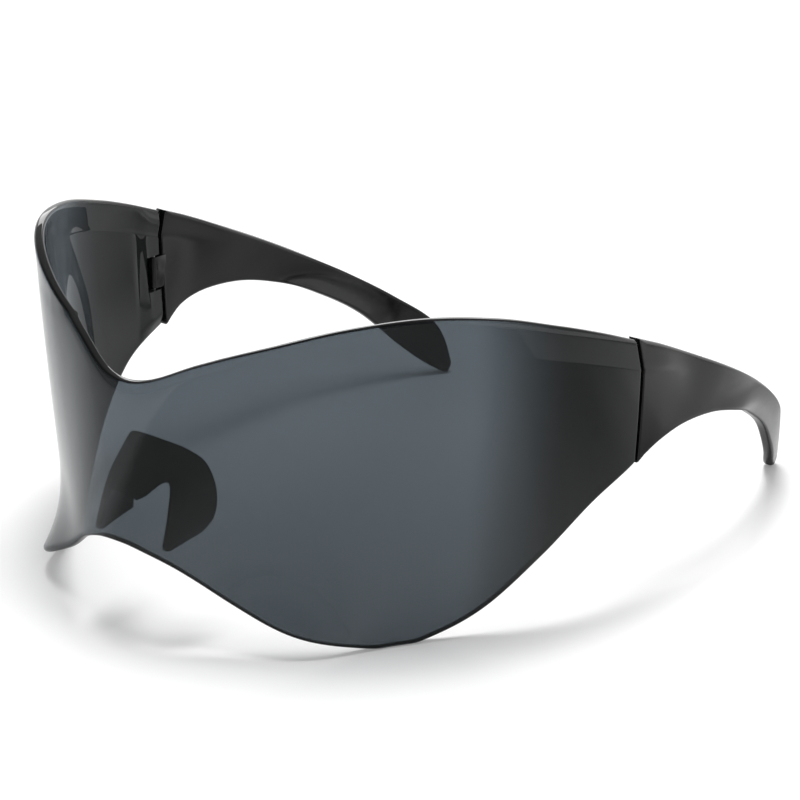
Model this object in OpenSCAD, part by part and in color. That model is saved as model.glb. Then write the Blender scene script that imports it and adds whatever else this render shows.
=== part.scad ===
// Wrap-around goggle sunglasses: a one-piece smoked shield with two lobes, a saddle for the
// nose behind it, and two broad temples that fold inwards on upright hinge pins.
// The wearer looks along -Y and +Z is up. The glasses stand on z = 0, on the two lobes of the
// shield and the tips of the temples. The origin is the centre of that footprint.

/* [Shield] */
// Width of the shield across its two sides
front_w = 142; // [134:1:150]
// Depth from the hinge seam forward to the brow, at the top
wrap_depth = 81.5; // [76:0.5:88]
// Height of the shield at its two lobes
shield_h = 73.5; // [68:0.5:79]
// Wall of the shield
shield_t = 2.2; // [1.9:0.1:2.5]
// Wall of the shield and of a temple beside the hinge
root_t = 3; // [2.9:0.1:3.4]
// How far each side leans in from the top down to the floor
side_tuck = 4.5; // [3:0.5:6]
// How far the front leans back from the top down to the floor
front_lean = 9.5; // [6:0.5:13]
// Height of the band along the top that leans inwards at the sides
band_h = 6.5; // [4:0.5:9]
// How far that band leans inwards
band_in = 1.6; // [0.8:0.1:2]

/* [Nose relief] */
// How far the front swells forward over the nose
nose_push = 17.5; // [14:0.5:20]
// Half width of that swelling
nose_spread = 26; // [22:1:30]
// Height at which the swelling fades out
nose_rise = 64.5; // [60:0.5:68]
// How far the lower lip flares out beside the nose
lip_push = 12; // [6:0.5:13]
// Distance of the flare from the middle
lip_place = 30; // [27:1:33]
// Half width of the flare
lip_spread = 11; // [9:1:13]
// Height at which the flare fades out
lip_rise = 25; // [20:1:28]

/* [Nose saddle] */
// Width over the two pads of the saddle
saddle_w = 26; // [23:0.5:29]
// Height of the saddle
saddle_h = 24; // [21:0.5:27]
// Depth of the saddle behind the shield
saddle_d = 16; // [13:0.5:19]
// Wall of the saddle
saddle_t = 1.6; // [1.2:0.1:2]
// How far the pads hang below the middle of the arch
saddle_drop = 2.3; // [1:0.1:4]

/* [Temples] */
// Length of a temple from the hinge seam back to its tip
temple_reach = 84; // [78:1:92]
// Wall of a temple behind its root
temple_t = 2.5; // [2.2:0.1:3]

/* [Hinges] */
// Diameter of a hinge pin
pin_d = 1; // [0.8:0.1:1.2]
// Length of a hinge pin
pin_len = 20; // [18:0.5:21]
// Diameter of a temple's knuckle round its pin
knuckle_d = 2; // [1.8:0.1:2.1]
// Height of the slot for the knuckle in the shield's end
slot_h = 8.4; // [7:0.2:10]
// Depth of that slot from the seam
slot_d = 4.5; // [4:0.1:5]
// Clearance above and below the knuckle
knuckle_gap = 0.4; // [0.3:0.1:0.8]
// Open seam between the shield and a temple
seam_gap = 0.9; // [0.7:0.1:1.2]

/* [Hidden] */

// Columns across the shield, and rows up to the band and in it
shield_cols = 92;
shield_rows = 10;
band_rows = 2;
// How strongly the columns crowd towards the seams, and the rows towards the lower edge
crowd_share = 0.5;
crowd_power = 1.35;
// Height of the shield's upper and lower edge, as shares of its height, from the middle of
// the front (0) round to the hinge seam (1)
top_edge_shares = [
    [0, 0.775], [0.06, 0.79], [0.15, 0.85], [0.28, 0.92], [0.42, 0.98],
    [0.56, 1], [0.7, 0.97], [0.83, 0.905], [0.92, 0.85], [1, 0.795]
];
low_edge_shares = [
    [0, 0.31], [0.05, 0.3], [0.12, 0.255], [0.22, 0.155], [0.33, 0.07], [0.44, 0.009],
    [0.495, -0.003], [0.55, 0.007], [0.66, 0.08], [0.78, 0.215], [0.89, 0.34], [1, 0.415]
];
// How fast the nose swelling dies away with height
relief_power = 0.65;
// Where the leaning band starts on the way round, and how softly
band_start_share = 0.71;
band_blend_share = 0.05;
// Where the shield's wall starts to thicken towards the seam, and over how far
rib_start_share = 0.925;
rib_blend_share = 0.05;
// Height over which that thickening runs out towards the upper and lower edge
rib_foot = 3.5;
// Step for taking slopes, as a share
slope_share = 0.001;

// Columns along a temple
temple_cols = 36;
// Upper and lower edge of a temple's outer face, from the seam (0) to the tip (1): across as
// a share of half the front's width, back as a share of the reach, up as a share of the height
temple_top_shares = [
    [0, [0.975, 0, 0.795]], [0.12, [0.968, 0.11, 0.744]], [0.25, [0.955, 0.24, 0.676]],
    [0.4, [0.951, 0.414, 0.58]], [0.55, [0.928, 0.569, 0.486]], [0.68, [0.878, 0.721, 0.379]],
    [0.8, [0.809, 0.855, 0.275]], [0.9, [0.73, 0.958, 0.174]], [1, [0.69, 1, 0.03]]
];
temple_low_shares = [
    [0, [0.979, 0, 0.415]], [0.12, [0.99, 0.08, 0.456]], [0.25, [0.991, 0.19, 0.476]],
    [0.4, [0.983, 0.33, 0.463]], [0.55, [0.966, 0.467, 0.419]], [0.68, [0.913, 0.585, 0.355]],
    [0.8, [0.851, 0.731, 0.25]], [0.9, [0.781, 0.862, 0.103]], [1, [0.693, 0.968, -0.015]]
];
// Places across a temple, from its lower edge (0) to its upper edge (1), and the share of the
// wall that the rounded edges give up there
temple_rows = [[0, 0.3], [0.05, 0], [0.25, 0], [0.5, 0], [0.7, 0], [0.8, 0], [0.95, 0], [1, 0.3]];
// How far along a temple the band's crease runs, and the crown of the plain face behind it
crease_share = 0.3;
temple_crown = 0.35;
// How far along a temple its thicker root runs
root_share = 0.18;
// Width that the tip keeps at its rounded end, as a share
tip_share = 0.4;
// Where that rounding starts
tip_start_share = 0.94;

// Edges of the saddle from its crown (0) round to the foot of a pad (1): across as a share of
// half its width and up as a share of its height, and at the back also the depth as a share
saddle_front_shares = [
    [0, [0, 0.54]], [0.2, [0.27, 0.53]], [0.4, [0.52, 0.44]],
    [0.6, [0.68, 0.28]], [0.8, [0.76, 0.1]], [1, [0.79, 0]]
];
saddle_back_shares = [
    [0, [0, 0.46, 0.92]], [0.2, [0.33, 0.58, 0.925]], [0.4, [0.66, 0.8, 0.83]],
    [0.55, [0.87, 0.92, 0.7]], [0.7, [0.98, 1, 0.46]], [0.85, [0.95, 0.98, 0.22]],
    [1, [0.8, 0.86, 0.06]]
];
saddle_cols = 28;
saddle_rows = 6;
// Crown of the saddle between its front and back edge
saddle_crown = 0.8;
// Slit between the bridge and a pad: its apex and its mouth's upper and lower lip, back as
// shares of the saddle's depth and up as shares of its height, and its run across as shares
// of half the width
slit_shares = [[0.39, 0.585], [-0.2, 0.29], [-0.2, -0.63]];
slit_across_shares = [0.25, 1.1];
// Film of adhesive between the saddle and the shield
bond_gap = 0.15;

// How far in front of the seam the pins stand, and their height as a share of the seam's
hinge_ahead = 1.5;
hinge_z_share = 0.47;
// Clearances: of the pin in the knuckle and in the shield, beyond its upper end, and of the
// knuckle from the bottom of its slot
running_gap = 0.05;
pin_fit = 0.02;
pin_blind = 0.3;
pocket_gap = 0.25;
// How far the knuckle's web runs on into the temple
web_run = 1;
// Overrun of a cut past the face that it opens
over = 1;
$fn = 48;

half_w = front_w / 2;
seam_top = top_z(1);
seam_low = low_z(1);
hinge_z = seam_low + hinge_z_share * (seam_top - seam_low);
// The knuckle lies flush with the inner face
hinge_x = skin(1, hinge_z)[0] - root_t + knuckle_d / 2;
hinge_y = -hinge_ahead;
knuckle_h = slot_h - 2 * knuckle_gap;
saddle_z = low_z(0) - saddle_drop;
saddle_y = inner_y(0, saddle_z + saddle_h * saddle_front_shares[0][1][1]);
// The pieces are drawn with the seam at y = 0 and then moved, so the whole part is centred
temple_stations = [for (i = [0:temple_cols]) i / temple_cols];
front_reach = wrap_at(low_z(0)) + relief(0, low_z(0));
back_reach = max([
    for (s = temple_stations) for (row = temple_rows) for (depth = [0, 1])
        temple_point(s, row, depth)[1]
]);
seam_y = (front_reach - back_reach) / 2;

// A smooth curve through the rows [place, value] of a table, which may start level
function row_at(table, t, i = 0) =
    i >= len(table) - 2 || t < table[i + 1][0] ? i : row_at(table, t, i + 1);
function rise_at(table, i, level) =
    let (last = len(table) - 1, a = max(i - 1, 0), b = min(i + 1, last))
    i == 0 && level ? 0 * table[0][1] : (table[b][1] - table[a][1]) / (table[b][0] - table[a][0]);
function curve(table, t, level = false) =
    let (
        i = row_at(table, t),
        wide = table[i + 1][0] - table[i][0],
        u = (t - table[i][0]) / wide,
        rise_a = rise_at(table, i, level) * wide,
        rise_b = rise_at(table, i + 1, level) * wide
    )
    (2 * pow(u, 3) - 3 * pow(u, 2) + 1) * table[i][1]
        + (pow(u, 3) - 2 * pow(u, 2) + u) * rise_a
        + (3 * pow(u, 2) - 2 * pow(u, 3)) * table[i + 1][1]
        + (pow(u, 3) - pow(u, 2)) * rise_b;
function unit(v) = v / norm(v);
function mix(a, b, share) = a + (b - a) * share;
function ease(share) = let (s = min(max(share, 0), 1)) s * s * (3 - 2 * s);

// The shield's edges, and its half width and depth at a height
function top_z(turn) = shield_h * curve(top_edge_shares, abs(turn), true);
function low_z(turn) = shield_h * max(0, curve(low_edge_shares, abs(turn), true));
function side_at(z) = half_w - side_tuck * pow(1 - z / shield_h, 2);
function wrap_at(z) = wrap_depth - front_lean * (1 - z / shield_h);
function relief(x, z) =
    nose_push * exp(-pow(x / nose_spread, 2)) * pow(max(0, 1 - z / nose_rise), relief_power);
function lip(x, z) =
    lip_push * exp(-pow((x - lip_place) / lip_spread, 2)) * pow(max(0, 1 - z / lip_rise), 2);
function band_fade(turn) = 1 / (1 + exp((band_start_share - turn) / band_blend_share));

// The shield's outer skin: turn runs from -1 at the right seam over 0 to 1 at the left seam
function skin(turn, z) =
    let (
        angle = 90 * abs(turn),
        wide = side_at(z),
        deep = wrap_at(z),
        x = wide * sin(angle),
        facing = unit([sin(angle) / wide, -cos(angle) / deep]),
        flare = lip(x, z) * facing,
        band = band_in * max(0, 1 - (top_z(turn) - z) / band_h) * band_fade(abs(turn))
    )
    [sign(turn) * (x + flare[0] - band), flare[1] - deep * cos(angle) - relief(x, z), z];
function outward(turn, z) =
    let (step = shield_h * slope_share)
    unit(cross(
        skin(turn + slope_share, z) - skin(turn - slope_share, z),
        skin(turn, z + step) - skin(turn, z - step)
    ));
// The inner skin lies level with the outer one, so the edges are flat
function inner_skin(turn, z) =
    let (
        n = outward(turn, z),
        inset = min(z - low_z(turn), top_z(turn) - z),
        rib = ease((abs(turn) - rib_start_share) / rib_blend_share) * ease(inset / rib_foot),
        level = [n[0], n[1], 0]
    )
    skin(turn, z) - mix(shield_t, root_t, rib) * level / pow(norm(level), 2);
function inner_y(x, z) =
    let (turn = asin(x / side_at(z)) / 90, n = outward(turn, z))
    skin(turn, z)[1] + shield_t / abs(n[1]);

// A closed wall between two grids of points, listed by column and then by row
module wall(outer, inner) {
    cols = len(outer);
    rows = len(outer[0]);
    back = cols * rows;
    points = [for (grid = [outer, inner]) for (column = grid) for (p = column) p];
    skins = [
        for (i = [0:cols - 2]) for (j = [0:rows - 2])
            let (a = i * rows + j, b = a + rows, c = b + 1, d = a + 1)
            each [[a, d, c], [a, c, b], [back + a, back + c, back + d], [back + a, back + b, back + c]]
    ];
    long_rims = [
        for (i = [0:cols - 2])
            let (a = i * rows, b = a + rows, d = a + rows - 1, c = b + rows - 1)
            each [[a, b, back + b], [a, back + b, back + a], [c, d, back + d], [c, back + d, back + c]]
    ];
    end_rims = [
        for (j = [0:rows - 2])
            let (a = j, d = a + 1, b = (cols - 1) * rows + j, c = b + 1)
            each [[d, a, back + a], [d, back + a, back + d], [b, c, back + c], [b, back + c, back + b]]
    ];
    polyhedron(points, concat(skins, long_rims, end_rims), convexity = 10);
}

module both_sides() {
    children();
    mirror([1, 0, 0]) children();
}

module placed() {
    translate([0, seam_y, 0])
        children();
}

// The shield

module shield_wall() {
    steps = [for (i = [0:shield_cols]) 2 * i / shield_cols - 1];
    turns = [for (step = steps) mix(step, sin(90 * step), crowd_share)];
    heights = [
        for (turn = turns)
            let (low = low_z(turn), crease = top_z(turn) - band_h)
            concat(
                [for (j = [0:shield_rows]) mix(low, crease, pow(j / shield_rows, crowd_power))],
                [for (j = [1:band_rows]) crease + band_h * j / band_rows]
            )
    ];
    outer = [for (i = [0:shield_cols]) [for (z = heights[i]) skin(turns[i], z)]];
    inner = [for (i = [0:shield_cols]) [for (z = heights[i]) inner_skin(turns[i], z)]];
    wall(outer, inner);
}

module knuckle_slot() {
    translate([hinge_x - root_t, -slot_d, hinge_z - slot_h / 2])
        cube([root_t + knuckle_d / 2 + pocket_gap, slot_d + over, slot_h]);
}

// Blind hole for a pin, open at the shield's lower edge
module pin_hole() {
    bottom = hinge_z - pin_len;
    translate([hinge_x, hinge_y, bottom])
        cylinder(d = pin_d + 2 * pin_fit, h = hinge_z + pin_len / 2 + pin_blind - bottom);
}

module shield_lens() {
    color("#3d444d")
        placed() difference() {
            shield_wall();
            both_sides() knuckle_slot();
            both_sides() pin_hole();
        }
}

// The nose saddle

function saddle_point(u, w) =
    let (
        f = curve(saddle_front_shares, abs(u), true),
        b = curve(saddle_back_shares, abs(u)),
        front_x = saddle_w / 2 * f[0],
        front_z = saddle_z + saddle_h * f[1],
        front = [front_x, inner_y(front_x, front_z) + bond_gap, front_z],
        rear = [saddle_w / 2 * b[0], saddle_y + saddle_d * b[1], saddle_z + saddle_h * b[2]],
        p = mix(front, rear, w) + [0, 0, saddle_crown * sin(180 * w) * (1 - abs(u))]
    )
    [sign(u) * p[0], p[1], p[2]];
function saddle_outward(u, w) =
    let (
        wa = max(w - slope_share, 0),
        wb = min(w + slope_share, 1),
        ua = max(u - slope_share, -1),
        ub = min(u + slope_share, 1)
    )
    unit(cross(
        saddle_point(ub, w) - saddle_point(ua, w),
        saddle_point(u, wb) - saddle_point(u, wa)
    ));

function seated(p) = [p[0], inner_y(abs(p[0]), p[2]) + bond_gap, p[2]];

module saddle_slit() {
    corners = [
        for (share = slit_shares) [saddle_y + saddle_d * share[0], saddle_z + saddle_h * share[1]]
    ];
    x = saddle_w / 2 * slit_across_shares;
    translate([x[0], 0, 0])
        rotate([90, 0, 90])
            linear_extrude(x[1] - x[0])
                polygon(corners);
}

module nose_saddle() {
    places = [for (i = [0:saddle_cols]) 2 * i / saddle_cols - 1];
    steps = [for (j = [0:saddle_rows]) j / saddle_rows];
    outer = [for (u = places) [for (w = steps) saddle_point(u, w)]];
    inner = [
        for (u = places)
            [for (w = steps)
                let (p = saddle_point(u, w) - saddle_t * saddle_outward(u, w))
                w == 0 ? seated(p) : p]
    ];
    color("#262726")
        placed() difference() {
            wall(outer, inner);
            both_sides() saddle_slit();
        }
}

// A temple

function temple_edge(table, s) =
    let (p = curve(table, s))
    [half_w * p[0], seam_gap + (temple_reach - seam_gap) * p[1], shield_h * p[2]];
function temple_facing(s) =
    let (
        a = max(s - slope_share, 0),
        b = min(s + slope_share, 1),
        run = temple_edge(temple_top_shares, b) + temple_edge(temple_low_shares, b)
            - temple_edge(temple_top_shares, a) - temple_edge(temple_low_shares, a),
        upright = temple_edge(temple_top_shares, s) - temple_edge(temple_low_shares, s),
        away = s == 0 ? [0, 1, 0] : run
    )
    unit(cross(away, upright));
// How far the outer face stands proud of the straight line between its edges
function temple_bulge(s, v) =
    let (
        z = mix(seam_low, seam_top, v),
        side = skin(1, z)[0] - mix(skin(1, seam_low)[0], skin(1, seam_top)[0], v),
        plain = temple_crown * 4 * v * (1 - v)
    )
    mix(side, plain, ease(s / crease_share));
function temple_point(s, row, depth) =
    let (
        low = temple_edge(temple_low_shares, s),
        top = temple_edge(temple_top_shares, s),
        shrink = s < tip_start_share ? 1
            : mix(1, tip_share, 1 - sqrt(1 - pow((s - tip_start_share) / (1 - tip_start_share), 2))),
        v = 0.5 + (row[0] - 0.5) * shrink,
        sink = mix(root_t, temple_t, ease(s / root_share)) * (row[1] + depth * (1 - 2 * row[1])),
        p = mix(low, top, v) + (temple_bulge(s, v) - sink) * temple_facing(s)
    )
    [p[0], p[1], max(0, p[2])];

module temple_blade() {
    outer = [for (s = temple_stations) [for (row = temple_rows) temple_point(s, row, 0)]];
    inner = [for (s = temple_stations) [for (row = temple_rows) temple_point(s, row, 1)]];
    wall(outer, inner);
}

// Knuckle of the temple, round the pin, on a web that runs back on the inner face
module knuckle() {
    low = hinge_z - knuckle_h / 2;
    translate([hinge_x, hinge_y, low])
        cylinder(d = knuckle_d, h = knuckle_h);
    translate([hinge_x - knuckle_d / 2, hinge_y, low])
        cube([knuckle_d, hinge_ahead + seam_gap + web_run, knuckle_h]);
}

module temple() {
    difference() {
        union() {
            temple_blade();
            knuckle();
        }
        translate([hinge_x, hinge_y, hinge_z - slot_h / 2])
            cylinder(d = pin_d + 2 * running_gap, h = slot_h);
    }
}

module temple_left() {
    color("#1f201f")
        placed() temple();
}

module temple_right() {
    color("#1f201f")
        mirror([1, 0, 0]) placed() temple();
}

// A hinge pin

module hinge_pin() {
    translate([hinge_x, hinge_y, hinge_z - pin_len / 2])
        cylinder(d = pin_d, h = pin_len);
}

module hinge_pin_left() {
    color("#b8bcc0")
        placed() hinge_pin();
}

module hinge_pin_right() {
    color("#b8bcc0")
        mirror([1, 0, 0]) placed() hinge_pin();
}

shield_lens();
nose_saddle();
temple_left();
temple_right();
hinge_pin_left();
hinge_pin_right();
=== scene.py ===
import bmesh
import bpy
import math
from mathutils import Matrix, Vector


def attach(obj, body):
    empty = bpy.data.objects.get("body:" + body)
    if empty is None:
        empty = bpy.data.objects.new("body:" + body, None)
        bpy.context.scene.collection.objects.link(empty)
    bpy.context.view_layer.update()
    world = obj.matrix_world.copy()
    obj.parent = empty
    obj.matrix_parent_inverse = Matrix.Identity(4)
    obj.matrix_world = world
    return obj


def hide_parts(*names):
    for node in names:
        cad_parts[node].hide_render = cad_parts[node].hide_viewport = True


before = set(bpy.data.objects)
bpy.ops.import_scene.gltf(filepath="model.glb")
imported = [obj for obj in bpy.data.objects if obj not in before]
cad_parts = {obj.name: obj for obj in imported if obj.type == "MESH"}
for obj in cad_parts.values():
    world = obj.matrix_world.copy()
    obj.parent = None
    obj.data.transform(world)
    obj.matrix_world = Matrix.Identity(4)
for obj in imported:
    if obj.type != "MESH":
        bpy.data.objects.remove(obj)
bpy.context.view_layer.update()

mm = 0.001
slopeStep = 0.001  # step for taking slopes, as a share

# Sizes in mm. Shapes are drawn with the hinge seam at y = 0 and then moved back by seamShift.
shield = {
    "seamShift": 2.436,
    "halfWidth": 71.0,
    "wrapDepth": 81.5,
    "height": 73.5,
    "sideTuck": 4.5,
    "frontLean": 9.5,
    "bandHeight": 6.5,
    "bandLean": 1.6,
    "bandGrow": 0.9,       # how much deeper the band is towards the nose, for a whole turn
    "bandStart": 0.57,
    "bandBlend": 0.05,
    "nosePush": 17.5,
    "noseSpread": 26.0,
    "noseRise": 64.5,
    "nosePower": 0.65,
    "lipPush": 12.0,
    "lipPlace": 30.0,
    "lipSpread": 11.0,
    "lipRise": 25.0,
    "wall": 2.2,
    "rootWall": 3.0,
    "ribStart": 0.925,
    "ribBlend": 0.05,
    "ribFoot": 3.5,
    "topEdge": (
        (0, 0.775), (0.06, 0.79), (0.15, 0.85), (0.28, 0.92), (0.42, 0.98),
        (0.56, 1), (0.7, 0.97), (0.83, 0.905), (0.92, 0.85), (1, 0.795),
    ),
    "lowEdge": (
        (0, 0.31), (0.05, 0.3), (0.12, 0.255), (0.22, 0.155), (0.33, 0.07), (0.44, 0.009),
        (0.495, -0.003), (0.55, 0.007), (0.66, 0.08), (0.78, 0.215), (0.89, 0.34), (1, 0.415),
    ),
    "topRadius": 0.8,
    "lowRadius": 0.95,     # the lower rim is rounder
    "lipRadius": 1.8,      # outside of the rim on the flared lips
    "lipRound": (0.28, 0.15),
    "endRadius": 0.3,
    "endRun": 121.0,       # length of the wall for one whole turn, beside the seam
    "columns": 216,
    "crowdShare": 0.5,     # how far the columns crowd towards the seams
    "rows": 26,
    "rowBend": 1.15,       # and the rows towards the foot
    "bandRows": 6,
    "rimRows": 7,
    "topRows": 4,
    "endRows": 3,
    "endSpace": 0.002,     # turn left free beside the rows of an end
    "creaseHalf": 0.35,
    "rimFade": 1.4,        # over 1: the dark of a rim is full before the very edge
    "smoothAngle": 35,     # edges sharper than this many degrees stay sharp
}

hinge = {
    "x": 68.26,            # place of the left pin
    "y": -1.5,             # from the seam
    "z": 43.63,
    "pinHole": 1.04,
    "pinLength": 20.0,
    "pinBlind": 0.3,
    "bore": 1.1,
    "knuckle": 2.0,
    "knuckleHeight": 7.6,
    "slotHeight": 8.4,
    "slotDepth": 4.5,
    "slotReach": 1.25,     # from the pin outwards to the bottom of the slot
    "seamGap": 0.9,
    "webRun": 1.0,
    "webRound": 0.12,
    "knuckleChamfer": 0.15,
    "slotRound": 0.25,
    "slotOverrun": 2.0,    # how far the cuts run on past what they cut
    "boreOverrun": 1.0,
}


# A smooth curve through the rows (place, value) of a table, which may start level
def curveAt(table, place, level=False):
    last = len(table) - 1
    i = 0
    while i < last - 1 and place >= table[i + 1][0]:
        i += 1
    many = isinstance(table[0][1], tuple)
    first = max(i - 1, 0)
    values = [Vector(row[1]) if many else row[1] for row in table[first:i + 3]]

    def value(k):
        return values[k - first]

    def rise(k):
        if k == 0 and level:
            return value(0) * 0
        a, b = max(k - 1, 0), min(k + 1, last)
        return (value(b) - value(a)) / (table[b][0] - table[a][0])

    wide = table[i + 1][0] - table[i][0]
    u = (place - table[i][0]) / wide
    return ((2 * u ** 3 - 3 * u ** 2 + 1) * value(i) + (u ** 3 - 2 * u ** 2 + u) * wide * rise(i)
            + (3 * u ** 2 - 2 * u ** 3) * value(i + 1) + (u ** 3 - u ** 2) * wide * rise(i + 1))


# A value between two others, and a share that starts and ends gently
def mixed(a, b, share):
    return a + (b - a) * share


def eased(share):
    s = min(max(share, 0.0), 1.0)
    return s * s * (3 - 2 * s)


# Distances from an edge at which a rounding of this radius gets its points
def roundSteps(radius, count):
    return [radius * (1 - math.cos(math.pi / 2 * k / count)) for k in range(count + 1)]


# How far the faces of a wall sink towards its rounded edges, each given as (distance, radius)
def edgeSink(*edges):
    near = [(max(0.0, 1 - distance / radius), radius) for distance, radius in edges]
    weight = sum(share for share, radius in near)
    if weight == 0:
        return 0.0
    radius = sum(share * size for share, size in near) / weight
    return radius * (1 - math.sqrt(max(0.0, 1 - sum(share ** 2 for share, size in near))))


# A closed wall between two grids of points in mm, listed by column and then by row
def wallMesh(name, outer, inner, mirrored=False):
    cols, rows = len(outer), len(outer[0])
    back = cols * rows
    side = -1 if mirrored else 1
    points = [
        (side * p[0] * mm, p[1] * mm, p[2] * mm)
        for grid in (outer, inner) for column in grid for p in column
    ]
    faces = []
    for i in range(cols - 1):
        for j in range(rows - 1):
            a = i * rows + j
            b, c, d = a + rows, a + rows + 1, a + 1
            faces.append((a, b, c, d))
            faces.append((back + a, back + d, back + c, back + b))
        a, b = i * rows, (i + 1) * rows
        d, c = a + rows - 1, b + rows - 1
        faces.append((a, back + a, back + b, b))
        faces.append((c, back + c, back + d, d))
    for j in range(rows - 1):
        a, d = j, j + 1
        b, c = (cols - 1) * rows + j, (cols - 1) * rows + j + 1
        faces.append((d, back + d, back + a, a))
        faces.append((b, back + b, back + c, c))
    if mirrored:
        faces = [tuple(reversed(face)) for face in faces]
    mesh = bpy.data.meshes.new(name)
    mesh.from_pydata(points, [], faces)
    mesh.update()
    return mesh


def newPiece(name, mesh):
    piece = bpy.data.objects.new(name, mesh)
    bpy.context.scene.collection.objects.link(piece)
    return piece


# Replaces a piece's mesh by what its modifiers make of it, and takes them off
def settle(piece):
    bpy.context.view_layer.update()
    made = bpy.data.meshes.new_from_object(piece.evaluated_get(bpy.context.evaluated_depsgraph_get()))
    piece.modifiers.clear()
    old = piece.data
    piece.data = made
    bpy.data.meshes.remove(old)
    made.name = piece.name


# Cuts a tool out of a piece, or joins it on
def carve(piece, tool, operation="DIFFERENCE"):
    modifier = piece.modifiers.new("carve", "BOOLEAN")
    modifier.operation = operation
    modifier.solver = "EXACT"
    modifier.object = tool
    settle(piece)
    mesh = tool.data
    bpy.data.objects.remove(tool)
    bpy.data.meshes.remove(mesh)


def smoothed(piece, angle):
    mesh = piece.data
    mesh.shade_smooth()
    mesh.set_sharp_from_angle(angle=math.radians(angle))


# A block with rounded edges between two corners in mm
def block(name, low, high, radius):
    shape = bmesh.new()
    bmesh.ops.create_cube(shape, size=1)
    for vert in shape.verts:
        vert.co = Vector([(low[k] if vert.co[k] < 0 else high[k]) * mm for k in range(3)])
    edges = shape.edges[:]
    bmesh.ops.bevel(shape, geom=edges, offset=radius * mm, segments=3, profile=0.5, affect="EDGES")
    bmesh.ops.recalc_face_normals(shape, faces=shape.faces[:])
    mesh = bpy.data.meshes.new(name)
    shape.to_mesh(mesh)
    shape.free()
    return newPiece(name, mesh)


# An upright round bar between two heights in mm, whose ends may be slightly broken
def bar(name, x, y, bottom, top, across, chamfer=0.0, sides=40):
    shape = bmesh.new()
    full, narrow = across / 2, across / 2 - chamfer
    rings = [(bottom, narrow), (bottom + chamfer, full), (top - chamfer, full), (top, narrow)]
    if not chamfer:
        rings = [rings[0], rings[-1]]
    loops = []
    for z, radius in rings:
        loops.append([
            shape.verts.new(((x + radius * math.cos(2 * math.pi * k / sides)) * mm,
                             (y + radius * math.sin(2 * math.pi * k / sides)) * mm, z * mm))
            for k in range(sides)
        ])
    for a, b in zip(loops, loops[1:]):
        for k in range(sides):
            n = (k + 1) % sides
            shape.faces.new((a[k], a[n], b[n], b[k]))
    shape.faces.new(list(reversed(loops[0])))
    shape.faces.new(loops[-1])
    mesh = bpy.data.meshes.new(name)
    shape.to_mesh(mesh)
    shape.free()
    return newPiece(name, mesh)


# The shield: its edges, and its outer skin from the right seam (-1) round to the left seam (1)
def topHeight(turn):
    return shield["height"] * curveAt(shield["topEdge"], abs(turn), True)


def lowHeight(turn):
    return shield["height"] * max(0.0, curveAt(shield["lowEdge"], abs(turn), True))


def bandHeight(turn):
    return shield["bandHeight"] * (1 + shield["bandGrow"] * (1 - abs(turn)))


def skinPoint(turn, z):
    s = shield
    angle = math.pi / 2 * abs(turn)
    rise = 1 - z / s["height"]
    wide = s["halfWidth"] - s["sideTuck"] * rise ** 2
    deep = s["wrapDepth"] - s["frontLean"] * rise
    x = wide * math.sin(angle)
    facing = Vector((math.sin(angle) / wide, -math.cos(angle) / deep)).normalized()
    lip = math.exp(-((x - s["lipPlace"]) / s["lipSpread"]) ** 2)
    flare = s["lipPush"] * lip * max(0, 1 - z / s["lipRise"]) ** 2
    fade = 1 / (1 + math.exp((s["bandStart"] - abs(turn)) / s["bandBlend"]))
    band = s["bandLean"] * max(0, 1 - (topHeight(turn) - z) / bandHeight(turn)) * fade
    nose = math.exp(-(x / s["noseSpread"]) ** 2)
    relief = s["nosePush"] * nose * max(0, 1 - z / s["noseRise"]) ** s["nosePower"]
    side = math.copysign(1, turn) if turn else 0
    return Vector((
        side * (x + flare * facing[0] - band),
        s["seamShift"] + flare * facing[1] - deep * math.cos(angle) - relief,
        z,
    ))


def skinFacing(turn, z):
    step = shield["height"] * slopeStep
    along = skinPoint(turn + slopeStep, z) - skinPoint(turn - slopeStep, z)
    return along.cross(skinPoint(turn, z + step) - skinPoint(turn, z - step)).normalized()


# How far back the inner face of the shield lies, at a place across and a height in mm
def innerDepth(x, z):
    wide = shield["halfWidth"] - shield["sideTuck"] * (1 - z / shield["height"]) ** 2
    turn = math.asin(x / wide) / (math.pi / 2)
    return skinPoint(turn, z)[1] + shield["wall"] / abs(skinFacing(turn, z)[1])


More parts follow.
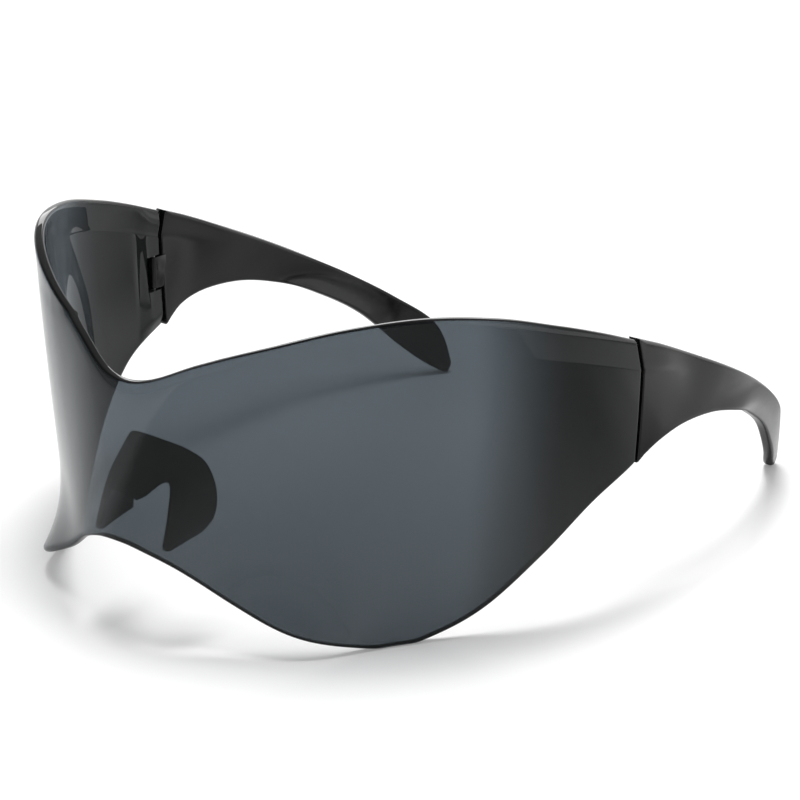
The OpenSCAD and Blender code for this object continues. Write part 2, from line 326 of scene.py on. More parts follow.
# The flat panel that is wrapped: each point keeps its place in the wall as attributes
def shieldPanel():
    s = shield
    ends = [1 - e / s["endRun"] for e in roundSteps(s["endRadius"], s["endRows"])]
    inner = []
    for i in range(s["columns"] + 1):
        step = 2 * i / s["columns"] - 1
        turn = mixed(step, math.sin(math.pi / 2 * step), s["crowdShare"])
        if abs(turn) < ends[-1] - s["endSpace"]:
            inner.append(turn)
    turns = [-turn for turn in ends] + inner + list(reversed(ends))
    topSteps = roundSteps(s["topRadius"], s["topRows"])
    faceSteps = [(k / s["rows"]) ** s["rowBend"] for k in range(1, s["rows"] + 1)]
    bandSteps = [k / s["bandRows"] for k in range(1, s["bandRows"] + 1)]
    outer, back, facts = [], [], []
    for side in (0, 1):
        for turn in turns:
            low, top = lowHeight(turn), topHeight(turn)
            slope = (topHeight(turn + slopeStep / 2) - topHeight(turn - slopeStep / 2)) / slopeStep
            crease = top - bandHeight(turn)
            lip = math.exp(-((abs(turn) - s["lipRound"][0]) / s["lipRound"][1]) ** 2)
            outside = mixed(s["lowRadius"], s["lipRadius"], lip)
            rounding = mixed(s["lowRadius"], s["wall"] - s["lipRadius"], lip) if side else outside
            start, stop, above = low + outside, crease - s["creaseHalf"], crease + s["creaseHalf"]
            heights = [low + e for e in roundSteps(outside, s["rimRows"])]
            heights += [mixed(start, stop, step) for step in faceSteps]
            heights += [crease, above]
            heights += [mixed(above, top - s["topRadius"], step) for step in bandSteps]
            heights += [top - e for e in reversed(topSteps[:-1])]
            column = []
            for z in heights:
                late = eased((abs(turn) - s["ribStart"]) / s["ribBlend"])
                rib = late * eased(min(z - low, top - z) / s["ribFoot"])
                wall = mixed(s["wall"], s["rootWall"], rib)
                sink = edgeSink((z - low, rounding), (top - z, s["topRadius"]),
                                ((1 - abs(turn)) * s["endRun"], s["endRadius"])) / wall
                column.append((turn * s["endRun"], side * wall, z))
                near = max(1 - (z - low) / s["lowRadius"], 1 - (top - z) / s["topRadius"], 0.0)
                rim = min(1.0, s["rimFade"] * near)
                depth = 1 - sink if side else sink
                facts.append((turn, z * mm, top * mm, slope * mm, depth, wall * mm, rim))
            (back if side else outer).append(column)
    mesh = wallMesh("shieldLens", outer, back)
    for k, name in enumerate(("turn", "height", "topHeight", "topSlope", "depth", "wall", "rim")):
        layer = mesh.attributes.new(name, "FLOAT", "POINT")
        layer.data.foreach_set("value", [fact[k] for fact in facts])
    return mesh


# The sizes that the wrapping tree takes, in metres or as plain numbers
shieldInputs = {
    "Half width": shield["halfWidth"] * mm,
    "Wrap depth": shield["wrapDepth"] * mm,
    "Height": shield["height"] * mm,
    "Side tuck": shield["sideTuck"] * mm,
    "Front lean": shield["frontLean"] * mm,
    "Band height": shield["bandHeight"] * mm,
    "Band lean": shield["bandLean"] * mm,
    "Band grow": shield["bandGrow"],
    "Band start": shield["bandStart"],
    "Band blend": shield["bandBlend"],
    "Nose push": shield["nosePush"] * mm,
    "Nose spread": shield["noseSpread"] * mm,
    "Nose rise": shield["noseRise"] * mm,
    "Nose power": shield["nosePower"],
    "Lip push": shield["lipPush"] * mm,
    "Lip place": shield["lipPlace"] * mm,
    "Lip spread": shield["lipSpread"] * mm,
    "Lip rise": shield["lipRise"] * mm,
    "Seam shift": shield["seamShift"] * mm,
}


# A short way to add sums to a node tree: each takes sockets or plain values
def calculator(tree, kind="ShaderNodeMath"):
    def calc(operation, *values):
        node = tree.nodes.new(kind)
        node.operation = operation
        for socket, value in zip(node.inputs, values):
            if isinstance(value, bpy.types.NodeSocket):
                tree.links.new(value, socket)
            else:
                socket.default_value = value
        single = kind == "ShaderNodeMath" or operation in ("DOT_PRODUCT", "LENGTH")
        return node.outputs["Value" if single else "Vector"]
    return calc


# Node group: the point of the outer skin for a turn and a height
def skinGroup():
    tree = bpy.data.node_groups.new("shieldSkin", "GeometryNodeTree")
    for name in ("Turn", "Point height", "Top height", *shieldInputs):
        tree.interface.new_socket(name=name, in_out="INPUT", socket_type="NodeSocketFloat")
    tree.interface.new_socket(name="Point", in_out="OUTPUT", socket_type="NodeSocketVector")
    given = tree.nodes.new("NodeGroupInput").outputs
    calc = calculator(tree)
    size = {name: given[name] for name in shieldInputs}
    turn, z = calc("ABSOLUTE", given["Turn"]), given["Point height"]
    angle = calc("MULTIPLY", turn, math.pi / 2)
    sine, cosine = calc("SINE", angle), calc("COSINE", angle)
    rise = calc("SUBTRACT", 1.0, calc("DIVIDE", z, size["Height"]))
    tuck = calc("MULTIPLY", size["Side tuck"], calc("MULTIPLY", rise, rise))
    wide = calc("SUBTRACT", size["Half width"], tuck)
    deep = calc("SUBTRACT", size["Wrap depth"], calc("MULTIPLY", size["Front lean"], rise))
    x = calc("MULTIPLY", wide, sine)

    def bell(value, spread):
        share = calc("DIVIDE", value, spread)
        return calc("EXPONENT", calc("MULTIPLY", -1.0, calc("MULTIPLY", share, share)))

    def fadeUp(limit):
        return calc("MAXIMUM", 0.0, calc("SUBTRACT", 1.0, calc("DIVIDE", z, limit)))

    facingX, facingY = calc("DIVIDE", sine, wide), calc("DIVIDE", cosine, deep)
    squares = calc("ADD", calc("MULTIPLY", facingX, facingX), calc("MULTIPLY", facingY, facingY))
    facing = calc("SQRT", squares)
    lipFade = calc("POWER", fadeUp(size["Lip rise"]), 2.0)
    lipBell = bell(calc("SUBTRACT", x, size["Lip place"]), size["Lip spread"])
    lip = calc("MULTIPLY", size["Lip push"], lipBell)
    flare = calc("DIVIDE", calc("MULTIPLY", lip, lipFade), facing)
    noseFade = calc("POWER", fadeUp(size["Nose rise"]), size["Nose power"])
    relief = calc("MULTIPLY", calc("MULTIPLY", size["Nose push"], bell(x, size["Nose spread"])), noseFade)
    late = calc("DIVIDE", calc("SUBTRACT", size["Band start"], turn), size["Band blend"])
    bandFade = calc("DIVIDE", 1.0, calc("ADD", 1.0, calc("EXPONENT", late)))
    grown = calc("ADD", 1.0, calc("MULTIPLY", size["Band grow"], calc("SUBTRACT", 1.0, turn)))
    drop = calc("SUBTRACT", given["Top height"], z)
    below = calc("DIVIDE", drop, calc("MULTIPLY", size["Band height"], grown))
    inBand = calc("MAXIMUM", 0.0, calc("SUBTRACT", 1.0, below))
    band = calc("MULTIPLY", size["Band lean"], calc("MULTIPLY", inBand, bandFade))
    across = calc("SUBTRACT", calc("ADD", x, calc("MULTIPLY", flare, facingX)), band)
    forwards = calc("ADD", calc("MULTIPLY", flare, facingY), calc("MULTIPLY", deep, cosine))
    ahead = calc("ADD", forwards, relief)
    point = tree.nodes.new("ShaderNodeCombineXYZ")
    tree.links.new(calc("MULTIPLY", calc("SIGN", given["Turn"]), across), point.inputs["X"])
    tree.links.new(calc("SUBTRACT", size["Seam shift"], ahead), point.inputs["Y"])
    tree.links.new(z, point.inputs["Z"])
    tree.links.new(point.outputs[0], tree.nodes.new("NodeGroupOutput").inputs["Point"])
    return tree


# Wraps the flat panel: each point goes on the skin and then inwards by its share of the wall
def wrapTree(material):
    tree = bpy.data.node_groups.new("shieldWrap", "GeometryNodeTree")
    tree.interface.new_socket(name="Geometry", in_out="INPUT", socket_type="NodeSocketGeometry")
    for name in shieldInputs:
        tree.interface.new_socket(name=name, in_out="INPUT", socket_type="NodeSocketFloat")
    tree.interface.new_socket(name="Geometry", in_out="OUTPUT", socket_type="NodeSocketGeometry")
    given = tree.nodes.new("NodeGroupInput").outputs
    calc, vector = calculator(tree), calculator(tree, "ShaderNodeVectorMath")
    group = skinGroup()

    def kept(name):
        node = tree.nodes.new("GeometryNodeInputNamedAttribute")
        node.data_type = "FLOAT"
        node.inputs["Name"].default_value = name
        return node.outputs["Attribute"]

    def skinAt(turn, height, top):
        node = tree.nodes.new("GeometryNodeGroup")
        node.node_tree = group
        for name, value in (("Turn", turn), ("Point height", height), ("Top height", top)):
            tree.links.new(value, node.inputs[name])
        for name in shieldInputs:
            tree.links.new(given[name], node.inputs[name])
        return node.outputs["Point"]

    turn, height, top = kept("turn"), kept("height"), kept("topHeight")
    drop = calc("MULTIPLY", kept("topSlope"), slopeStep)
    lift = calc("MULTIPLY", given["Height"], slopeStep)
    after = skinAt(calc("ADD", turn, slopeStep), height, calc("ADD", top, drop))
    before = skinAt(calc("SUBTRACT", turn, slopeStep), height, calc("SUBTRACT", top, drop))
    above = skinAt(turn, calc("ADD", height, lift), top)
    below = skinAt(turn, calc("SUBTRACT", height, lift), top)
    along, upwards = vector("SUBTRACT", after, before), vector("SUBTRACT", above, below)
    facing = vector("NORMALIZE", vector("CROSS_PRODUCT", along, upwards))
    level = vector("MULTIPLY", facing, (1.0, 1.0, 0.0))
    sunk = calc("MULTIPLY", kept("depth"), kept("wall"))
    inset = calc("DIVIDE", sunk, vector("DOT_PRODUCT", level, level))
    inwards = tree.nodes.new("ShaderNodeVectorMath")
    inwards.operation = "SCALE"
    tree.links.new(level, inwards.inputs[0])
    tree.links.new(inset, inwards.inputs["Scale"])
    place = tree.nodes.new("GeometryNodeSetPosition")
    tree.links.new(given["Geometry"], place.inputs["Geometry"])
    point = vector("SUBTRACT", skinAt(turn, height, top), inwards.outputs["Vector"])
    tree.links.new(point, place.inputs["Position"])
    real = tree.nodes.new("GeometryNodeRealizeInstances")
    finish = tree.nodes.new("GeometryNodeSetMaterial")
    finish.inputs["Material"].default_value = material
    tree.links.new(place.outputs["Geometry"], real.inputs["Geometry"])
    tree.links.new(real.outputs["Geometry"], finish.inputs["Geometry"])
    tree.links.new(finish.outputs["Geometry"], tree.nodes.new("NodeGroupOutput").inputs["Geometry"])
    return tree


# A new material with its shader, and the place on the object that its patterns go by
def newMaterial(name):
    material = bpy.data.materials.new(name)
    material.use_nodes = True
    nodes, links = material.node_tree.nodes, material.node_tree.links
    shader = nodes["Principled BSDF"]
    place = nodes.new("ShaderNodeTexCoord").outputs["Object"]
    return material, nodes, links, shader, place


def stretchNode(nodes, links, place, scale):
    stretch = nodes.new("ShaderNodeMapping")
    stretch.inputs["Scale"].default_value = scale
    links.new(place, stretch.inputs["Vector"])
    return stretch.outputs["Vector"]


def noiseNode(nodes, links, place, scale, detail, roughness=0.55):
    noise = nodes.new("ShaderNodeTexNoise")
    noise.inputs["Scale"].default_value = scale
    noise.inputs["Detail"].default_value = detail
    noise.inputs["Roughness"].default_value = roughness
    links.new(place, noise.inputs["Vector"])
    return noise.outputs["Fac"]


def rangeNode(nodes, links, value, fromLow, fromHigh, low, high):
    node = nodes.new("ShaderNodeMapRange")
    for name, number in (("From Min", fromLow), ("From Max", fromHigh), ("To Min", low), ("To Max", high)):
        node.inputs[name].default_value = number
    links.new(value, node.inputs["Value"])
    return node.outputs["Result"]


def tintNode(nodes, links, value, first, last):
    tint = nodes.new("ShaderNodeValToRGB")
    tint.color_ramp.elements[0].color = first
    tint.color_ramp.elements[1].color = last
    links.new(value, tint.inputs["Fac"])
    return tint.outputs["Color"]


def bumpNode(nodes, links, height, strength, distance, under=None):
    bump = nodes.new("ShaderNodeBump")
    bump.inputs["Strength"].default_value = strength
    bump.inputs["Distance"].default_value = distance
    links.new(height, bump.inputs["Height"])
    if under:
        links.new(under, bump.inputs["Normal"])
    return bump.outputs["Normal"]


# Smoked clear plastic, polished: the smoke gets denser beside the hinges and along the rims,
# with faint waves from the mould and a trace of handling. Towards the foot it holds back more
# light: painted shade for the shadowed floor seen through it
smoke = {
    "passes": (0.84, 0.93, 1.0, 1),
    "body": (0.02, 0.0215, 0.021, 1),
    "rimBody": (0.002, 0.002, 0.002, 1),
    "cover": (0.744, 0.676),        # share of a face that holds light back in front, at two heights
    "paintedShadeHeights": (0.004, 0.05),  # in metres
    "sideCover": 0.97,
    "sides": (-0.038, -0.017),      # where the sides darken, in metres back
    "rimCover": 0.99,
    "facingBlend": 0.5,
    "grazingPower": 5.0,
    "ior": 1.49,
    "rough": (0.0, 0.035),
    "handling": (260.0, 6.0, 0.7),  # scale, detail and roughness of a noise
    "handlingRange": (0.45, 0.8),
    "waves": (34.0, 1.0),
    "waveBump": (0.25, 0.00003),    # strength and height of a bump
}


def smokedClearPlastic():
    material, nodes, links, shader, place = newMaterial("smokedClearPlastic")
    shader.inputs["IOR"].default_value = smoke["ior"]
    marks = noiseNode(nodes, links, place, *smoke["handling"])
    rough = rangeNode(nodes, links, marks, *smoke["handlingRange"], *smoke["rough"])
    links.new(rough, shader.inputs["Roughness"])
    waves = noiseNode(nodes, links, place, *smoke["waves"])
    links.new(bumpNode(nodes, links, waves, *smoke["waveBump"]), shader.inputs["Normal"])
    calc = calculator(material.node_tree)
    parts = nodes.new("ShaderNodeSeparateXYZ")
    links.new(place, parts.inputs[0])
    # more light held back towards the foot is painted shade, for the shadowed floor seen through the lens
    front = rangeNode(nodes, links, parts.outputs["Z"], *smoke["paintedShadeHeights"], *smoke["cover"])
    aside = rangeNode(nodes, links, parts.outputs["Y"], *smoke["sides"], 0.0, 1.0)
    cover = calc("ADD", front, calc("MULTIPLY", aside, calc("SUBTRACT", smoke["sideCover"], front)))
    rim = nodes.new("ShaderNodeAttribute")
    rim.attribute_name = "rim"
    tint = tintNode(nodes, links, rim.outputs["Fac"], smoke["body"], smoke["rimBody"])
    links.new(tint, shader.inputs["Base Color"])
    dense = calc("MAXIMUM", cover, calc("MULTIPLY", rim.outputs["Fac"], smoke["rimCover"]))
    facing = nodes.new("ShaderNodeLayerWeight")
    facing.inputs["Blend"].default_value = smoke["facingBlend"]
    grazing = calc("POWER", facing.outputs["Facing"], smoke["grazingPower"])
    clear = nodes.new("ShaderNodeBsdfTransparent")
    clear.inputs["Color"].default_value = smoke["passes"]
    mix = nodes.new("ShaderNodeMixShader")
    held = calc("ADD", dense, calc("MULTIPLY", calc("SUBTRACT", 1.0, dense), grazing))
    links.new(held, mix.inputs["Fac"])
    links.new(clear.outputs[0], mix.inputs[1])
    links.new(shader.outputs[0], mix.inputs[2])
    links.new(mix.outputs[0], nodes["Material Output"].inputs["Surface"])
    return material


# Moulded black plastic, polished: colour and gloss drift a little, with hair-fine scuffs
black = {
    "dark": (0.003, 0.0031, 0.003, 1),
    "light": (0.009, 0.0092, 0.009, 1),
    "drift": (55.0, 3.0),
    "ior": 1.52,
    "rough": (0.11, 0.24),
    "saddleRough": 0.06,            # how much rougher the saddle is
    "scuffs": (900.0, 8.0, 0.75),
    "scuffStretch": (1.0, 0.12, 1.0),
    "scuffRange": (0.4, 0.75),
    "scuffBump": (0.06, 0.00002),
    "ripple": (60.0, 2.0),
    "rippleBump": (0.3, 0.00006),
}


def polishedBlackPlastic(name="polishedBlackPlastic", shift=0.0):
    material, nodes, links, shader, place = newMaterial(name)
    drift = noiseNode(nodes, links, place, *black["drift"])
    tint = tintNode(nodes, links, drift, black["dark"], black["light"])
    links.new(tint, shader.inputs["Base Color"])
    stretched = stretchNode(nodes, links, place, black["scuffStretch"])
    scuffs = noiseNode(nodes, links, stretched, *black["scuffs"])
    smoothest, roughest = black["rough"]
    rough = rangeNode(nodes, links, scuffs, *black["scuffRange"], smoothest + shift, roughest + shift)
    links.new(rough, shader.inputs["Roughness"])
    shader.inputs["IOR"].default_value = black["ior"]
    ripple = noiseNode(nodes, links, place, *black["ripple"])
    wavy = bumpNode(nodes, links, ripple, *black["rippleBump"])
    links.new(bumpNode(nodes, links, scuffs, *black["scuffBump"], wavy), shader.inputs["Normal"])
    return material


# Drawn steel for the pins, with fine lines along them
pinSteel = {
    "dark": (0.42, 0.42, 0.43, 1),
    "light": (0.66, 0.66, 0.67, 1),
    "lines": (2600.0, 5.0, 0.7),
    "lineStretch": (1.0, 1.0, 0.04),
    "lineRange": (0.3, 0.7),
    "lineBump": (0.3, 0.00002),
    "rough": (0.22, 0.42),
}


def drawnSteel():
    material, nodes, links, shader, place = newMaterial("drawnSteel")
    shader.inputs["Metallic"].default_value = 1.0
    stretched = stretchNode(nodes, links, place, pinSteel["lineStretch"])
    lines = noiseNode(nodes, links, stretched, *pinSteel["lines"])
    tint = tintNode(nodes, links, lines, pinSteel["dark"], pinSteel["light"])
    links.new(tint, shader.inputs["Base Color"])
    rough = rangeNode(nodes, links, lines, *pinSteel["lineRange"], *pinSteel["rough"])
    links.new(rough, shader.inputs["Roughness"])
    links.new(bumpNode(nodes, links, lines, *pinSteel["lineBump"]), shader.inputs["Normal"])
    return material


smokedPlastic = smokedClearPlastic()
blackPlastic = polishedBlackPlastic()
saddlePlastic = polishedBlackPlastic("saddleBlackPlastic", black["saddleRough"])
steel = drawnSteel()
print("materials made")

# The shield is wrapped from its flat panel by the tree, then cut for the knuckles and pins
shieldLens = newPiece("shieldLens", shieldPanel())
wrap = shieldLens.modifiers.new("wrap", "NODES")
wrap.node_group = wrapTree(smokedPlastic)
for item in wrap.node_group.interface.items_tree:
    if item.in_out == "INPUT" and item.name in shieldInputs:
        wrap[item.identifier] = shieldInputs[item.name]
settle(shieldLens)
for name in ("turn", "height", "topHeight", "topSlope", "depth", "wall"):
    shieldLens.data.attributes.remove(shieldLens.data.attributes[name])
seamY = hinge["y"] + shield["seamShift"]
for side in (1, -1):
    xs = sorted((side * (hinge["x"] - shield["rootWall"]), side * (hinge["x"] + hinge["slotReach"])))
    slotY = shield["seamShift"] - hinge["slotDepth"]
    low = (xs[0], slotY, hinge["z"] - hinge["slotHeight"] / 2)
    high = (xs[1], slotY + hinge["slotDepth"] + hinge["slotOverrun"], hinge["z"] + hinge["slotHeight"] / 2)
    carve(shieldLens, block("slotTool", low, high, hinge["slotRound"]))
    carve(shieldLens, bar("pinTool", side * hinge["x"], seamY, hinge["z"] - hinge["pinLength"],
                          hinge["z"] + hinge["pinLength"] / 2 + hinge["pinBlind"], hinge["pinHole"]))
smoothed(shieldLens, shield["smoothAngle"])
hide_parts("shield_lens")
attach(shieldLens, "front")
print("shield wrapped and cut:", len(shieldLens.data.polygons), "faces")

# The saddle for the nose: an arch on the shield's inner face that ends in two pads
saddle = {
    "width": 26.0,
    "height": 24.0,
    "depth": 16.0,
    "wall": 1.6,
    "drop": 2.3,
    "crown": 0.8,
    "bond": 0.15,
    "frontRadius": 0.55,
    "bondRadius": 0.02,    # rounding of the front edge where it is bonded
    "freeBlend": 0.05,     # stand-off from which the front edge is wholly free
    "backRadius": 0.55,
    "footRadius": 0.45,
    "footStep": 0.02,      # step for measuring the length of a foot
    "footSpace": 0.004,    # share left free beside the rows of a foot
    "rimRows": 4,
    "columns": 160,
    "rows": 30,
    "smoothAngle": 40,
    "frontEdge": (
        (0, (0, 0.54)), (0.2, (0.27, 0.53)), (0.4, (0.52, 0.44)),
        (0.6, (0.68, 0.28)), (0.8, (0.76, 0.1)), (1, (0.79, 0)),
    ),
    "backEdge": (
        (0, (0, 0.42, 0.985)), (0.2, (0.34, 0.58, 0.925)), (0.4, (0.67, 0.79, 0.825)),
        (0.55, (0.87, 0.92, 0.7)), (0.7, (0.98, 1, 0.46)), (0.85, (0.95, 0.98, 0.22)),
        (1, (0.8, 0.86, 0.06)),
    ),
    # how far the front edge stands off from the shield: a notch between the bridge and each pad
    "standOff": (
        (0, 0), (0.27, 0), (0.33, 0.09), (0.39, 0.35), (0.44, 0.42), (0.5, 0.36),
        (0.6, 0.23), (0.72, 0.12), (0.85, 0.045), (0.93, 0.05), (0.97, 0.08), (1, 0.16),
    ),
}
saddleFoot = lowHeight(0) - saddle["drop"]
saddleFront = innerDepth(0, saddleFoot + saddle["height"] * saddle["frontEdge"][0][1][1])


# The outer face of the saddle: u runs over the bridge from one foot (-1) to the other (1), and w
# from the shield (0) to the back edge (1)
def saddlePoint(u, w):
    front = curveAt(saddle["frontEdge"], abs(u), True)
    back = curveAt(saddle["backEdge"], abs(u))
    half = saddle["width"] / 2
    x, z = half * front[0], saddleFoot + saddle["height"] * front[1]
    near = Vector((x, innerDepth(x, z) + saddle["bond"], z))
    backY, backZ = saddleFront + saddle["depth"] * back[1], saddleFoot + saddle["height"] * back[2]
    far = Vector((half * back[0], backY, backZ))
    p = near.lerp(far, w)
    p.z += saddle["crown"] * math.sin(math.pi * w) * (1 - abs(u))
    if u < 0:
        p.x = -p.x
    return p


def saddleFacing(u, w):
    u1, u2 = max(u - slopeStep, -1), min(u + slopeStep, 1)
    w1, w2 = max(w - slopeStep, 0), min(w + slopeStep, 1)
    along = saddlePoint(u2, w) - saddlePoint(u1, w)
    return along.cross(saddlePoint(u, w2) - saddlePoint(u, w1)).normalized()


def noseSaddleMesh():
    s = saddle
    foot = (saddlePoint(1, 0.5) - saddlePoint(1 - s["footStep"], 0.5)).length / s["footStep"]
    ends = [1 - e / foot for e in roundSteps(s["footRadius"], s["rimRows"])]
    evenly = [2 * i / s["columns"] - 1 for i in range(s["columns"] + 1)]
    middle = [u for u in evenly if abs(u) < ends[-1] - s["footSpace"]]
    places = [-u for u in ends] + middle + list(reversed(ends))
    outer, inner = [], []
    for u in places:
        run = (saddlePoint(u, 1) - saddlePoint(u, 0)).length
        first = max(0.0, curveAt(s["standOff"], abs(u)))
        free = eased(first / s["freeBlend"])
        radius = mixed(s["bondRadius"], s["frontRadius"], free)
        starts = [first + e / run for e in roundSteps(radius, s["rimRows"])]
        rounds = [1 - e / run for e in roundSteps(s["backRadius"], s["rimRows"])]
        between = [mixed(starts[-1], rounds[-1], k / s["rows"]) for k in range(s["rows"] + 1)]
        steps = starts[:-1] + between + list(reversed(rounds[:-1]))
        front, back = [], []
        for w in steps:
            p, facing = saddlePoint(u, w), saddleFacing(u, w)
            sink = edgeSink(((1 - w) * run, s["backRadius"]), ((1 - abs(u)) * foot, s["footRadius"]),
                            ((w - first) * run, radius))
            a, b = p - sink * facing, p - (s["wall"] - sink) * facing
            # where it is bonded, the front edge follows the shield
            if w == first:
                a.y, b.y = (mixed(innerDepth(abs(q.x), q.z) + s["bond"], q.y, free) for q in (a, b))
            front.append(a)
            back.append(b)
        outer.append(front)
        inner.append(back)
    return wallMesh("noseSaddle", outer, inner)


noseSaddle = newPiece("noseSaddle", noseSaddleMesh())
noseSaddle.data.materials.append(saddlePlastic)
smoothed(noseSaddle, saddle["smoothAngle"])
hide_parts("nose_saddle")
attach(noseSaddle, "front")
print("saddle made:", len(noseSaddle.data.polygons), "faces")

# The temples: broad blades that sweep down into a hooked tip
temple = {
    "reach": 84.0,
    "wall": 2.5,
    "rootWall": 3.0,
    "rootShare": 0.18,
    "crease": 0.3,
    "crown": 0.35,
    "edgeRadius": 0.8,
    "frontRadius": 0.3,
    "frontRun": 77.0,      # length of the blade for one whole share, at the seam and at the tip
    "tipRadius": 1.1,
    "tipRun": 120.0,
    "tipShare": 0.4,
    "tipStart": 0.94,
    "seamRadius": 0.3,     # the long edges start this sharp at the seam
    "seamBlend": 0.04,
    "space": 0.003,        # share left free beside the rows of an end
    "frontRows": 3,
    "tipRows": 5,
    "edgeRows": 5,
    "columns": 110,
    "rows": 22,
    "smoothAngle": 32,
    "topEdge": (
        (0, (0.975, 0, 0.795)), (0.12, (0.968, 0.11, 0.744)), (0.25, (0.955, 0.24, 0.676)),
        (0.4, (0.951, 0.414, 0.58)), (0.55, (0.928, 0.569, 0.486)), (0.68, (0.878, 0.721, 0.379)),
        (0.8, (0.809, 0.855, 0.275)), (0.9, (0.73, 0.958, 0.174)), (1, (0.69, 1, 0.03)),
    ),
    "lowEdge": (
        (0, (0.979, 0, 0.415)), (0.12, (0.99, 0.08, 0.456)), (0.25, (0.991, 0.19, 0.476)),
        (0.4, (0.983, 0.33, 0.463)), (0.55, (0.966, 0.467, 0.419)), (0.68, (0.913, 0.585, 0.355)),
        (0.8, (0.851, 0.731, 0.25)), (0.9, (0.781, 0.862, 0.103)), (1, (0.693, 0.968, -0.015)),
    ),
}
seamTop, seamLow = topHeight(1), lowHeight(1)


# A blade: s runs from the seam (0) to the tip (1), and v from the lower edge (0) to the upper (1)
def templeEdge(table, s):
    p = curveAt(table, s)
    return Vector((
        shield["halfWidth"] * p[0],
        hinge["seamGap"] + (temple["reach"] - hinge["seamGap"]) * p[1] + shield["seamShift"],
        shield["height"] * p[2],
    ))


def templeFacing(s):
    a, b = max(s - slopeStep, 0), min(s + slopeStep, 1)
    top, low = temple["topEdge"], temple["lowEdge"]
    run = templeEdge(top, b) + templeEdge(low, b) - templeEdge(top, a) - templeEdge(low, a)
    if s == 0:
        run = Vector((0, 1, 0))
    return run.cross(templeEdge(top, s) - templeEdge(low, s)).normalized()


# How far a blade swells between its edges: as the shield does at the seam, then by its own crown
def templeBulge(s, v):
    straight = mixed(skinPoint(1, seamLow)[0], skinPoint(1, seamTop)[0], v)
    atSeam = skinPoint(1, mixed(seamLow, seamTop, v))[0] - straight
    return mixed(atSeam, temple["crown"] * 4 * v * (1 - v), eased(s / temple["crease"]))


def templeBlade(name, mirrored):
    t = temple
    fronts = [e / t["frontRun"] for e in roundSteps(t["frontRadius"], t["frontRows"])]
    tips = [1 - e / t["tipRun"] for e in roundSteps(t["tipRadius"], t["tipRows"])]
    first, last = fronts[-1] + t["space"], tips[-1] - t["space"]
    evenly = [i / t["columns"] for i in range(1, t["columns"])]
    stations = fronts + [s for s in evenly if first < s < last] + list(reversed(tips))
    outer, inner = [], []
    for s in stations:
        low, top = templeEdge(t["lowEdge"], s), templeEdge(t["topEdge"], s)
        shrink = 1.0
        if s > t["tipStart"]:
            late = (s - t["tipStart"]) / (1 - t["tipStart"])
            shrink = mixed(1, t["tipShare"], 1 - math.sqrt(max(0, 1 - late ** 2)))
        width = (top - low).length * shrink
        facing = templeFacing(s)
        wall = mixed(t["rootWall"], t["wall"], eased(s / t["rootShare"]))
        radius = mixed(t["seamRadius"], t["edgeRadius"], eased(s / t["seamBlend"]))
        edges = [e / width for e in roundSteps(radius, t["edgeRows"])]
        rows = edges + [mixed(edges[-1], 1 - edges[-1], k / t["rows"]) for k in range(1, t["rows"])]
        rows += [1 - e for e in reversed(edges)]
        front, back = [], []
        for row in rows:
            sink = edgeSink((row * width, radius), ((1 - row) * width, radius),
                            (s * t["frontRun"], t["frontRadius"]), ((1 - s) * t["tipRun"], t["tipRadius"]))
            v = 0.5 + (row - 0.5) * shrink
            middle = low.lerp(top, v) + templeBulge(s, v) * facing
            for column, depth in ((front, sink), (back, wall - sink)):
                p = middle - depth * facing
                p.z = max(0.0, p.z)
                column.append(p)
        outer.append(front)
        inner.append(back)
    return newPiece(name, wallMesh(name, outer, inner, mirrored))


# A blade with the knuckle that turns in the shield's slot
def makeTemple(name, node, body, side):
    piece = templeBlade(name, side < 0)
    low, high = hinge["z"] - hinge["knuckleHeight"] / 2, hinge["z"] + hinge["knuckleHeight"] / 2
    half = hinge["knuckle"] / 2
    xs = sorted((side * (hinge["x"] - half), side * (hinge["x"] + half)))
    webEnd = shield["seamShift"] + hinge["seamGap"] + hinge["webRun"]
    across, over = side * hinge["x"], hinge["boreOverrun"]
    knuckle = bar("knuckle", across, seamY, low, high, hinge["knuckle"], hinge["knuckleChamfer"])
    carve(knuckle, block("web", (xs[0], seamY, low), (xs[1], webEnd, high), hinge["webRound"]), "UNION")
    carve(piece, knuckle, "UNION")
    carve(piece, bar("boreTool", across, seamY, low - over, high + over, hinge["bore"]))
    piece.data.materials.clear()
    piece.data.materials.append(blackPlastic)
    smoothed(piece, temple["smoothAngle"])
    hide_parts(node)
    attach(piece, body)
    print(name, "made:", len(piece.data.polygons), "faces")


makeTemple("templeLeft", "temple_left", "left_temple", 1)
makeTemple("templeRight", "temple_right", "right_temple", -1)

for name in ("hinge_pin_left", "hinge_pin_right"):
    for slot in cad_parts[name].material_slots:
        slot.material = steel
print("pins finished")
